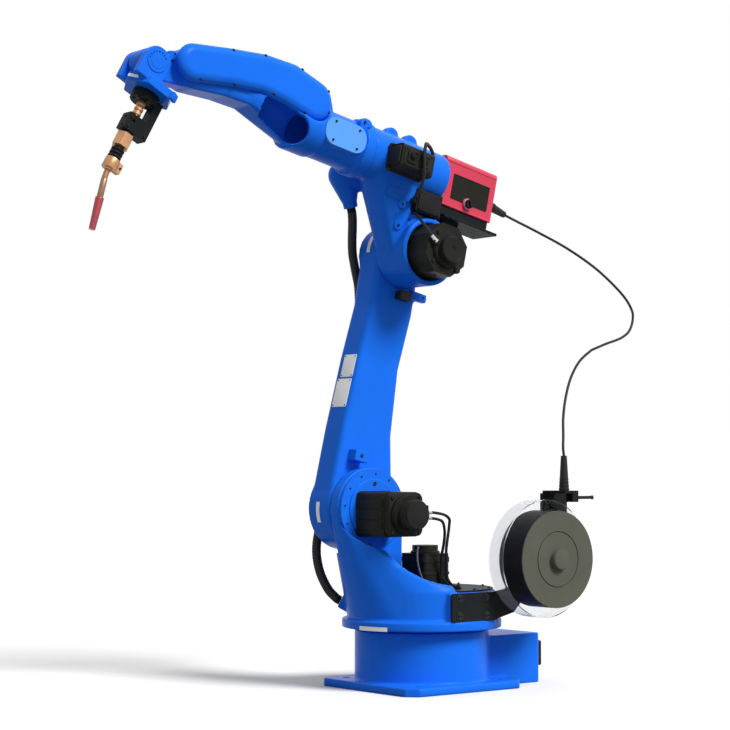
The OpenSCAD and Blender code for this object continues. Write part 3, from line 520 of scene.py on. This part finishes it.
def landing(node, spot, way):
    """Where a line from a spot meets a part's skin, and the way the skin faces there."""
    part = frame["nodes"][node].evaluated_get(bpy.context.evaluated_depsgraph_get())
    skin = part.to_mesh()
    tree = BVHTree.FromPolygons([part.matrix_world @ v.co for v in skin.vertices],
                                [p.vertices[:] for p in skin.polygons])
    part.to_mesh_clear()
    hit, normal, _, _ = tree.ray_cast(spot, way)
    return hit * 1000, normal if normal.dot(way) < 0 else -normal


dress("arm_casting", blue_paint, voxel=0.004, softened=7)
dress("arm_bracket", blue_paint, edge=0.003, segments=3)
dress("arm_stop", rubber, edge=0.003)
bpy.context.view_layer.update()
arm = link_axes(joint_at["j2_shoulder"], joint_at["j3_elbow"] - joint_at["j2_shoulder"])
arm_length = (joint_at["j3_elbow"] - joint_at["j2_shoulder"]).length * 1000
arm_far = -175
lying = Matrix.Rotation(math.radians(-90), 4, "X")
arm_boss = arm @ lying
shoulder_strip = bent_plate(arm_boss, 124.3, start=2, stop=30, low=-132, high=-117, thick=strip_thick)
make_piece("shoulder_strip", [shoulder_strip], pale_metal, "lower_arm")
elbow_boss = arm @ Matrix.Translation((0, 0, arm_length / 1000)) @ lying
elbow_strip = bent_plate(elbow_boss, 90.3, start=-32, stop=6, low=-132, high=-117, thick=strip_thick)
make_piece("elbow_strip", [elbow_strip], pale_metal, "lower_arm")
rivet_inset, rivet_seat = 5, 0.0013
rivet_steps = [(2.6, 0), (2.2, 1), (1, 1.5)]
plates, rivets = [], []
for along, width, height, middle in ((414, 58, 70, -115), (330, 68, 88, -120)):
    spot, facing = landing("arm_casting", arm @ (Vector((400, middle, along)) / 1000), -arm.col[0].to_3d())
    at = seat(ground, spot, facing, arm.col[2].to_3d())
    plates.append(plate_shape(at, width, height, thick=1.4, corner=4, edge=0.5))
    rivet_x, rivet_y = (width / 2 - rivet_inset) / 1000, (height / 2 - rivet_inset) / 1000
    rivets += [turned(rivet_steps, at @ Matrix.Translation((x * rivet_x, y * rivet_y, rivet_seat)), sides=16)
               for x in (-1, 1) for y in (-1, 1)]
make_piece("blank_plates", plates, pale_metal, "lower_arm")
make_piece("plate_rivets", rivets, dark_steel, "lower_arm")
cover_rise, cover_rim = 8, 11
covers, bearing_bolts = [], []
for along, radius, count in ((0, 88, 12), (arm_length, 62, 8)):
    cover_steps = [(radius, 0), (radius, 6), (radius - 3, cover_rise), (radius * 0.62, cover_rise),
                   (radius * 0.58, 6)]
    covers.append(turned(cover_steps, seat(arm, (0, arm_far, along), (0, -1, 0)), sides=64))
    reach = radius - cover_rim
    for k in range(count):
        turn = math.tau * (k + 0.5) / count
        spot = (reach * math.cos(turn), arm_far - cover_rise, along + reach * math.sin(turn))
        bearing_bolts.append(cap_screw(seat(arm, spot, (0, -1, 0)), size=5))
make_piece("bearing_covers", covers, blue_paint, "lower_arm")
make_piece("bearing_screws", bearing_bolts, dark_steel, "lower_arm")
plug_face = [(4.6, 0), (4.6, 1), (3.6, 1.4), (3.4, 0.3, 6)]
bracket_plugs = [turned(plug_face, seat(arm, spot, (0, 1, 0)))
                 for spot in ((58, -36, 147), (-92, -56, arm_length - 111))]
make_piece("bracket_plugs", bracket_plugs, dark_steel, "lower_arm")


# Elbow: one casting joins the open cup of the elbow joint to the roll housing of the forearm.
# Two screwed lugs stand on its web, and a shallow panel is cast into it.
dress("elbow_casting", blue_paint, voxel=0.0035, softened=7)
joint_axis = {joint["name"]: Vector(joint["axis"]) for joint in frame["record"]["behaviour"]["joints"]}
elbow_height = 235
fore_axis = joint_axis["j4_roll"]
elbow = link_axes(joint_at["j3_elbow"], fore_axis.cross(Vector((0, 1, 0))))
fore = elbow @ Matrix.Translation((0, 0, elbow_height / 1000))
lug_steps = [(15, -6), (14, 3), (12.5, 5)]
lugs, lug_screws = [], []
for along, up in ((124, 114), (116, 52)):
    spot, facing = landing("elbow_casting", elbow @ (Vector((along, 400, up)) / 1000), Vector((0, -1, 0)))
    lugs.append(turned(lug_steps, seat(ground, spot, facing), sides=32))
    lug_screws.append(cap_screw(seat(ground, spot + facing * 4.4, facing), size=4))
make_piece("web_lugs", lugs, blue_paint, "elbow")
make_piece("lug_screws", lug_screws, dark_steel, "elbow")
spot, facing = landing("elbow_casting", fore @ (Vector((150, 400, -98)) / 1000), Vector((0, -1, 0)))
web_panel = seat(ground, spot, facing, fore.col[2].to_3d())
make_piece("web_panel", [plate_shape(web_panel, 84, 34, thick=2.2, corner=14, edge=1.6)],
           blue_paint, "elbow")


# Elbow motor: a servo motor with cut corners lies in the cup, its encoder cap to the outside.
# A lead leaves a small plug on its face and goes to the junction box.
dress("elbow_motor", motor_black, edge=0.003, segments=3)
dress("elbow_lead", rubber)
motor_face = 136
eight_sides = seat(elbow, (0, motor_face - 44, 0), (0, 1, 0)) @ Matrix.Rotation(math.radians(22.5), 4, "Z")
bell_body = [(78, 0, 8), (78, 10, 8), (75, 13, 8)]
bell_neck = [(54, 0), (54, 6), (52, 9)]
bell_cap = [(39.5, 0), (39.5, 5), (37, 8), (8, 8.2), (7.4, 6.6)]
bell_post = [(9, 0), (9, 10), (8, 12)]
bell = [turned(bell_body, eight_sides, sides=32)]
bell.append(turned(bell_neck, seat(elbow, (0, motor_face - 1, 0), (0, 1, 0)), sides=48))
bell.append(turned(bell_cap, seat(elbow, (0, motor_face + 22, 0), (0, 1, 0)), sides=48))
bell.append(plate_shape(seat(elbow, (52, motor_face, 14), (0, 1, 0)), 22, 26, thick=14, corner=4, edge=2))
bell.append(turned(bell_post, seat(elbow, (-46, motor_face, -52), (0, 1, 0))))
make_piece("elbow_motor_bell", bell, motor_black, "elbow")
elbow_ring = 63
elbow_screws = []
for k in range(4):
    turn = math.radians(45 + 90 * k)
    spot = (elbow_ring * math.cos(turn), motor_face, elbow_ring * math.sin(turn))
    elbow_screws.append(cap_screw(seat(elbow, spot, (0, 1, 0)), size=6))
make_piece("elbow_motor_screws", elbow_screws, dark_steel, "elbow")
make_piece("elbow_plug", [turned(plug_steps[:6], seat(fore, (52, 145.5, -224), (0.86, 0.05, 0.44)))],
           bright_steel, "elbow")


# Roll motor: a flat servo motor bolted to the side of the roll housing, with two screwed plugs on its face.
# Its lead bends over in a loop and runs down to the junction box.
dress("roll_motor", motor_black, edge=0.006, segments=2)
dress("roll_lead", rubber)
# The black junction box is partly a real box that the leads run to and partly painted shade: a dark block
# filling the shadowed gap by the elbow web.
dress("junction_box", black_plastic, edge=0.003, segments=3)
roll_x, roll_y, roll_z = 171, 146, -13
face_plate = seat(fore, (roll_x, roll_y, roll_z), (0, 1, 0))
bell = [plate_shape(face_plate, 108, 58, thick=2.4, corner=8, edge=1.2)]
roll_plug = [(11, 0), (11, 8), (9, 10), (9, 10.5, 6), (8.4, 8, 6)]
for x in (150, 196):
    plug_pad = seat(fore, (x, roll_y + 2, roll_z + 2), (0, 1, 0))
    bell.append(plate_shape(plug_pad, 34, 40, thick=5, corner=6, edge=1.6))
    bell.append(turned(roll_plug, seat(fore, (x, roll_y + 6, roll_z + 6), (0, 1, 0))))
bell.append(plate_shape(seat(fore, (232, 114, roll_z), (1, 0, 0)), 52, 58, thick=6, corner=10, edge=3))
bell.append(plate_shape(seat(fore, (roll_x, 84, roll_z), (0, 1, 0)), 134, 84, thick=8, corner=8, edge=1.5))
make_piece("roll_motor_bell", bell, motor_black, "elbow")
roll_screws = [cap_screw(seat(fore, (roll_x + x * long, y, roll_z + z * high), (0, 1, 0)), size)
               for long, y, high, size in ((61, 92, 36, 4.5), (47, roll_y + 2.4, 23, 3))
               for x in (-1, 1) for z in (-1, 1)]
make_piece("roll_motor_screws", roll_screws, dark_steel, "elbow")
# Its black lid is likewise partly painted shade for the shadow there.
box_x, box_y, box_z = 36, 62, -95
box_gland = [(9, 0), (9, 5), (8, 6, 6), (8, 14, 6), (6.6, 15)]
box_face = seat(fore, (box_x, box_y, box_z), (0, 1, 0))
junction_lid_and_painted_shade = [plate_shape(box_face, 88, 62, thick=4, corner=5, edge=1.5)]
junction_lid_and_painted_shade.append(turned(box_gland, seat(fore, (84, 50, -104), (1, 0, 0))))
make_piece("junction_lid_and_painted_shade", junction_lid_and_painted_shade, black_plastic, "elbow")
junction_screws = [cap_screw(seat(fore, (box_x + x, box_y + 4, box_z + z), (0, 1, 0)), size=3)
                   for x in (-38, 38) for z in (-25, 25)]
make_piece("junction_screws", junction_screws, dark_steel, "elbow")


# Wire feeder: a red sheet-steel cover with a dark window sits on a black carrier behind the roll housing.
# A knob with a bright collar on the window holds the feed rolls down.
dress("feeder_carrier", black_paint, edge=0.0015)
dress("feeder_base", black_paint, edge=0.0015)
red_paint = made_finish("red_paint", (0.60, 0.036, 0.082), 0.36, mottle=0.05, grain=700, grain_depth=0.0001,
                        coat=0.1, gloss=0.3)
dress("feeder_cover", red_paint, edge=0.003, segments=3)
dark_window = made_finish("dark_window", (0.017, 0.018, 0.014), 0.3, mottle=0.1, grain=300,
                          grain_depth=0.00002, gloss=0.06)
dress("feeder_window", dark_window)
dress("feeder_knob", black_plastic, edge=0.0015)
feeder_y, knob_x, knob_z = 35, -128, -44
surround = [(18.6, 0), (18.6, 2.6), (17.8, 3.2), (15, 3.2)]
make_piece("knob_surround", [turned(surround, seat(fore, (knob_x, feeder_y, knob_z), (0, 1, 0)), sides=40)],
           red_paint, "elbow")
collar = [(15.8, 0), (15.8, 5.6), (15.2, 6.4), (14.4, 6.4), (14.3, 2)]
make_piece("knob_collar", [turned(collar, seat(fore, (knob_x, feeder_y + 2, knob_z), (0, 1, 0)), sides=40)],
           bright_steel, "elbow")
knob_grip = seat(fore, (knob_x, feeder_y + 15, knob_z), (0, 1, 0), (0.3, 0, 1))
make_piece("knob_grip", [plate_shape(knob_grip, 6, 24, thick=6, corner=2, edge=1)],
           black_plastic, "elbow")
feeder_low, feeder_high, feeder_rear, feeder_front = -72, 84, -230, -24
feeder_middle = (feeder_rear + feeder_front) / 2
trim = [plate_shape(seat(fore, (feeder_middle, feeder_y, z), (0, 1, 0)), 203, height,
                    thick=1.6, corner=1.2, edge=0.5)
        for z, height in ((feeder_high - 17, 3), (feeder_low + 4, 6))]
make_piece("feeder_trim", trim, red_paint, "elbow")
window_x, window_z = feeder_middle - 6, -5
window_bars = ((0, 37, 146, 3), (0, -37, 146, 3), (-72, 0, 3, 74), (72, 0, 3, 74))
window_frame = [plate_shape(seat(fore, (window_x + x, feeder_y, window_z + z), (0, 1, 0)), width, height,
                            thick=2.8, corner=1.4, edge=0.8) for x, z, width, height in window_bars]
make_piece("window_frame", window_frame, black_plastic, "elbow")
carrier_screws = [cap_screw(seat(fore, (x, 45, -104), (0, 1, 0)), size=3.5) for x in (-230, -150, -70)]
make_piece("carrier_screws", carrier_screws, dark_steel, "elbow")
dress("conduit_boot_high", rubber)
boot_way = Vector((-0.99255, 0, -0.12187))
boot_start = Vector((feeder_rear + 6, -14, 0))
upper_boot_ribs = [turned([(r, 0), (r + 1.3, 1), (r + 1.3, 5), (r, 6)],
                          seat(fore, boot_start + boot_way * reach, boot_way, (0, 1, 0)))
                   for reach, r in ((8, 16.6), (20, 15.8), (32, 15), (44, 14.1))]
make_piece("upper_boot_ribs", upper_boot_ribs, rubber, "elbow")


# Forearm: a hollow cast tube that rolls in the elbow and opens through a scoop mouth into a one-sided
# gooseneck. A screwed cowl closes the neck's near side, and an oval cover closes a hand hole in the tube.
dress("forearm_casting", blue_paint, voxel=0.0035, softened=7)
dress("cowl", blue_paint, voxel=0.003, softened=22)
# The tube cover gets a lighter, greener and glossier copy of the blue paint: painted highlight for the light
# that falls on the cover.
painted_highlight_blue_paint = made_finish("painted_highlight_blue_paint", (0.095, 0.33, 0.88), 0.32, mottle=0.04, mottle_scale=5,
                               grain=520, grain_depth=0.0001, rough_spread=0.05, gloss=0.2)
dress("tube_cover", painted_highlight_blue_paint, edge=0.003, segments=3)
wrist_along = (joint_at["j5_wrist"] - fore.translation).dot(fore_axis) * 1000
neck_screws = [("cowl", back, up, 1.5, 4.8) for back, up in (
    (-223, 110), (-331, 133), (-462, 138), (-565, 108), (-137, -5), (-249, 19), (-381, 36), (-496, 20),
    (-578, 48))]
neck_screws += [("forearm_casting", -64, 48, 1, 3), ("forearm_casting", -60, 27, 1, 4)]
cowl_screws = []
for node, back, up, sunk, size in neck_screws:
    spot, facing = landing(node, fore @ (Vector((wrist_along + back, 400, up)) / 1000), Vector((0, -1, 0)))
    cowl_screws.append(cap_screw(seat(ground, spot - facing * sunk, facing), size))
make_piece("cowl_screws", cowl_screws, dark_steel, "forearm")
cover_middle, cover_face = 392, 79
cover_screws = [cap_screw(seat(fore, (cover_middle + x, cover_face, z), (0, 1, 0)), size=3.8)
                for x in (-44, 44) for z in (-28, 28)]
make_piece("cover_screws", cover_screws, dark_steel, "forearm")
ring_lug = seat(fore, (320, 40, 56), (0, 1, 0))
make_piece("ring_lug", [plate_shape(ring_lug, 44, 40, thick=28, corner=18, edge=3)],
           blue_paint, "forearm")
ring_screws = [cap_screw(seat(fore, (x, 68, z), (0, 1, 0)), size=4.5) for x, z in ((328, 62), (312, 48))]
make_piece("ring_screws", ring_screws, dark_steel, "forearm")


# Wrist: two cheeks hold the forearm's tongue and carry a six-sided block. A screwed cover closes the bearing
# on each cheek, and a small cast block and a bare metal strip are on the block's sides.
dress("wrist_block", blue_paint, voxel=0.0018, softened=5)
wrist = link_axes(joint_at["j5_wrist"], joint_axis["j6_tool"])
cheek_face, cheek_ring = 55.5, 26.5
cheek_cover = [(32, 0), (32, 1.6), (31, 2.4), (22, 2.4), (21, 3.4)]
wrist_covers, wrist_screws = [], []
for near in (-1, 1):
    wrist_covers.append(turned(cheek_cover, seat(wrist, (0, near * cheek_face, 0), (0, near, 0)), sides=48))
    for k in range(8):
        turn = math.radians(-8 + 20 * k)
        spot = (cheek_ring * math.cos(turn), near * (cheek_face + 1.6), cheek_ring * math.sin(turn))
        wrist_screws.append(cap_screw(seat(wrist, spot, (0, near, 0)), size=2.2))
cast_block = seat(wrist, (-84, 62, -62), (-0.5, 0.866, 0))
wrist_covers.append(plate_shape(cast_block, 26, 24, thick=9, corner=4, edge=2))
make_piece("wrist_covers", wrist_covers, blue_paint, "wrist")
make_piece("wrist_screws", wrist_screws, dark_steel, "wrist")
wrist_strip = seat(wrist, (25.8, 16, -60), (0.866, 0.5, 0))
make_piece("wrist_strip", [plate_shape(wrist_strip, 34, 9, strip_thick, corner=1, edge=0.3)],
           pale_metal, "wrist")


# Torch mount: a black steel disc turns on the wrist block and carries an angled bracket with a split clamp.
# The torch's brass body runs through the clamp.
dress("tool_disc", black_paint, edge=0.002)
dress("torch_bracket", black_paint, edge=0.002)
tool = wrist @ Matrix.Translation((-0.040, 0, -0.0998))
disc_ring = 27
disc_screws = []
for k in range(6):
    turn = math.tau * (k + 0.5) / 6
    spot = (disc_ring * math.cos(turn), disc_ring * math.sin(turn), 0)
    disc_screws.append(cap_screw(seat(tool, spot, (0, 0, -1)), size=4))
make_piece("tool_disc_screws", disc_screws, dark_steel, "tool")
clamp_screws = [cap_screw(seat(tool, (x, 20, z), (0, 1, 0)), size=4)
                for x, z in ((16, -62), (16, -90), (-42, -88))]
clamp_screws += [cap_screw(seat(tool, (26, 0, z), (1, 0, 0)), size=4) for z in (-62, -88)]
make_piece("clamp_screws", clamp_screws, dark_steel, "tool")


# Torch: a straight brass body with an insulating sleeve, a hexagon nut and a split collar, then a copper
# swan neck with its gas nozzle.
brass = made_finish("brass", (0.50, 0.27, 0.13), 0.42, metal=0.65, mottle=0.15, mottle_scale=40, grain=900,
                    grain_depth=0.0001, gloss=0.4)
for node in ("torch_body", "torch_nut", "torch_collar"):
    dress(node, brass, edge=0.0008)
aged_copper = made_finish("aged_copper", (0.31, 0.175, 0.10), 0.40, metal=0.65, mottle=0.2, mottle_scale=40,
                          grain=900, grain_depth=0.0001, gloss=0.4)
dress("swan_neck", aged_copper, edge=0.0006)
copper = made_finish("copper", (0.36, 0.062, 0.072), 0.36, metal=0.65, mottle=0.15, mottle_scale=40,
                     grain=900, grain_depth=0.0001, gloss=0.4)
dress("gas_nozzle", copper, edge=0.0006)
dress("torch_insulator", black_plastic, edge=0.001)
sleeve_steps = [(15, 0, 12), (17, 1, 12), (17, 6.5, 12), (15, 7.5, 12)]
make_piece("torch_sleeve", [turned(sleeve_steps, seat(tool, (0, 0, -100.2), (0, 0, -1)), sides=48)],
           black_plastic, "tool")
grip_steps = [(11.2, 0), (13, 1), (13, 8), (11.2, 9)]
grips = [turned(grip_steps, seat(tool, (0, 0, -down), (0, 0, -1)), sides=32) for down in (6, 20, 34)]
make_piece("torch_grips", grips, brass, "tool")
make_piece("collar_screw", [cap_screw(seat(tool, (-26, 10, -203), (0, 1, 0)), size=3.5)],
           dark_steel, "tool")


conduit_width = 0.008
conduit_low_run = smooth_route(metres([
    (-308, 293, 687.5), (-310, 288, 712), (-321, 277.5, 745), (-339, 259, 802), (-368, 240, 864),
    (-409, 221, 926), (-463, 204, 978), (-527, 190, 1014)]), 6)
conduit_low = make_piece("wire_conduit_low", [tube_shape(conduit_low_run, conduit_width / 2)], rubber)
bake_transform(conduit_low)
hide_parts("conduit_low")

conduit_high_run = smooth_route(metres([
    (-528, 189.8, 1014.4), (-605, 175, 1037), (-686, 161, 1059), (-735, 150, 1085), (-762, 139, 1124),
    (-764, 130, 1158), (-736, 113, 1207), (-660, 82, 1280), (-564, 50, 1342), (-466, 19, 1390),
    (-398, -6, 1422), (-350.6, -14, 1440.4)]), 6)
conduit_high = make_piece("wire_conduit_high", [tube_shape(conduit_high_run, conduit_width / 2)], rubber)
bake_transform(conduit_high)
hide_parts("conduit_high")


# Cable hose: a thick black corrugated sheath with the motor and signal lines. It comes out of a gland on the
# turret, is clamped along the far side of the lower arm and goes into a gland on the elbow casting.
hose_width, groove_depth = 0.028, 0.0007


def ribbed(i):
    """The hose's radius at a ring of its sheath: every other ring is a groove."""
    return hose_width / 2 - (groove_depth if i % 2 else 0)


hose_low_run = smooth_route(metres([
    (191.4, -149.6, 255.1), (196.5, -153.6, 258.6), (203, -159.2, 265.5), (219, -174.5, 290),
    (234, -194, 340), (238, -206, 400), (228, -208, 460), (205, -208, 520), (185, -206, 580)]), 14)
hose_low = make_piece("cable_hose_low", [tube_shape(hose_low_run, ribbed, sides=20)], rubber,
                      crease=60)
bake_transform(hose_low)
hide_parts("hose_low")

hose_arm_run = smooth_route(metres([
    (184.8, -206, 580.6), (165, -204, 650), (141, -204, 760), (118, -204, 880), (97, -204, 1000),
    (80, -204, 1110)]), 34)
hose_arm = make_piece("cable_hose_arm", [tube_shape(hose_arm_run, ribbed, sides=20)], rubber,
                      "lower_arm", crease=60)
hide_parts("hose_arm")

hose_high_run = smooth_route(metres([
    (79.9, -204, 1111), (77.8, -204, 1124.6), (77, -204, 1155), (80, -204, 1205), (93, -203, 1256),
    (112, -192, 1302), (131, -170, 1340), (147, -148, 1371), (158, -133.5, 1398), (163.5, -128.4, 1416),
    (165.8, -128, 1424.7), (167.8, -128, 1431.9)]), 12)
hose_high = make_piece("cable_hose_high", [tube_shape(hose_high_run, ribbed, sides=20)], rubber,
                       crease=60)
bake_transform(hose_high)
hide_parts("hose_high")

clamp_wide, strap_thick, bolt_reach = 16, 3, 24
clamp_ring = [(14.6, 0), (16.4, 0), (16.4, clamp_wide), (14.6, clamp_wide)]
clamps, clamp_bolts = [], []
for ring in (20, 85, 150):
    spot = hose_arm_run[ring] * 1000
    way = (hose_arm_run[ring + 1] - hose_arm_run[ring - 1]).normalized()
    clamps.append(turned(clamp_ring, seat(ground, spot - way * clamp_wide / 2, way, (0, 1, 0)), sides=32))
    foot = seat(ground, (spot.x, arm_far, spot.z), (0, -1, 0), way)
    clamps.append(plate_shape(foot, 34, clamp_wide, thick=15.5, corner=3, edge=1))
    clamps.append(plate_shape(foot, 62, clamp_wide, strap_thick, corner=3, edge=0.8))
    across = way.cross(Vector((0, 1, 0)))
    strap = Vector((spot.x, arm_far - strap_thick, spot.z))
    clamp_bolts += [cap_screw(seat(ground, strap + across * reach, (0, -1, 0)), size=4)
                    for reach in (-bolt_reach, bolt_reach)]
make_piece("hose_clamps", clamps, black_plastic, "lower_arm")
make_piece("hose_clamp_screws", clamp_bolts, dark_steel, "lower_arm")
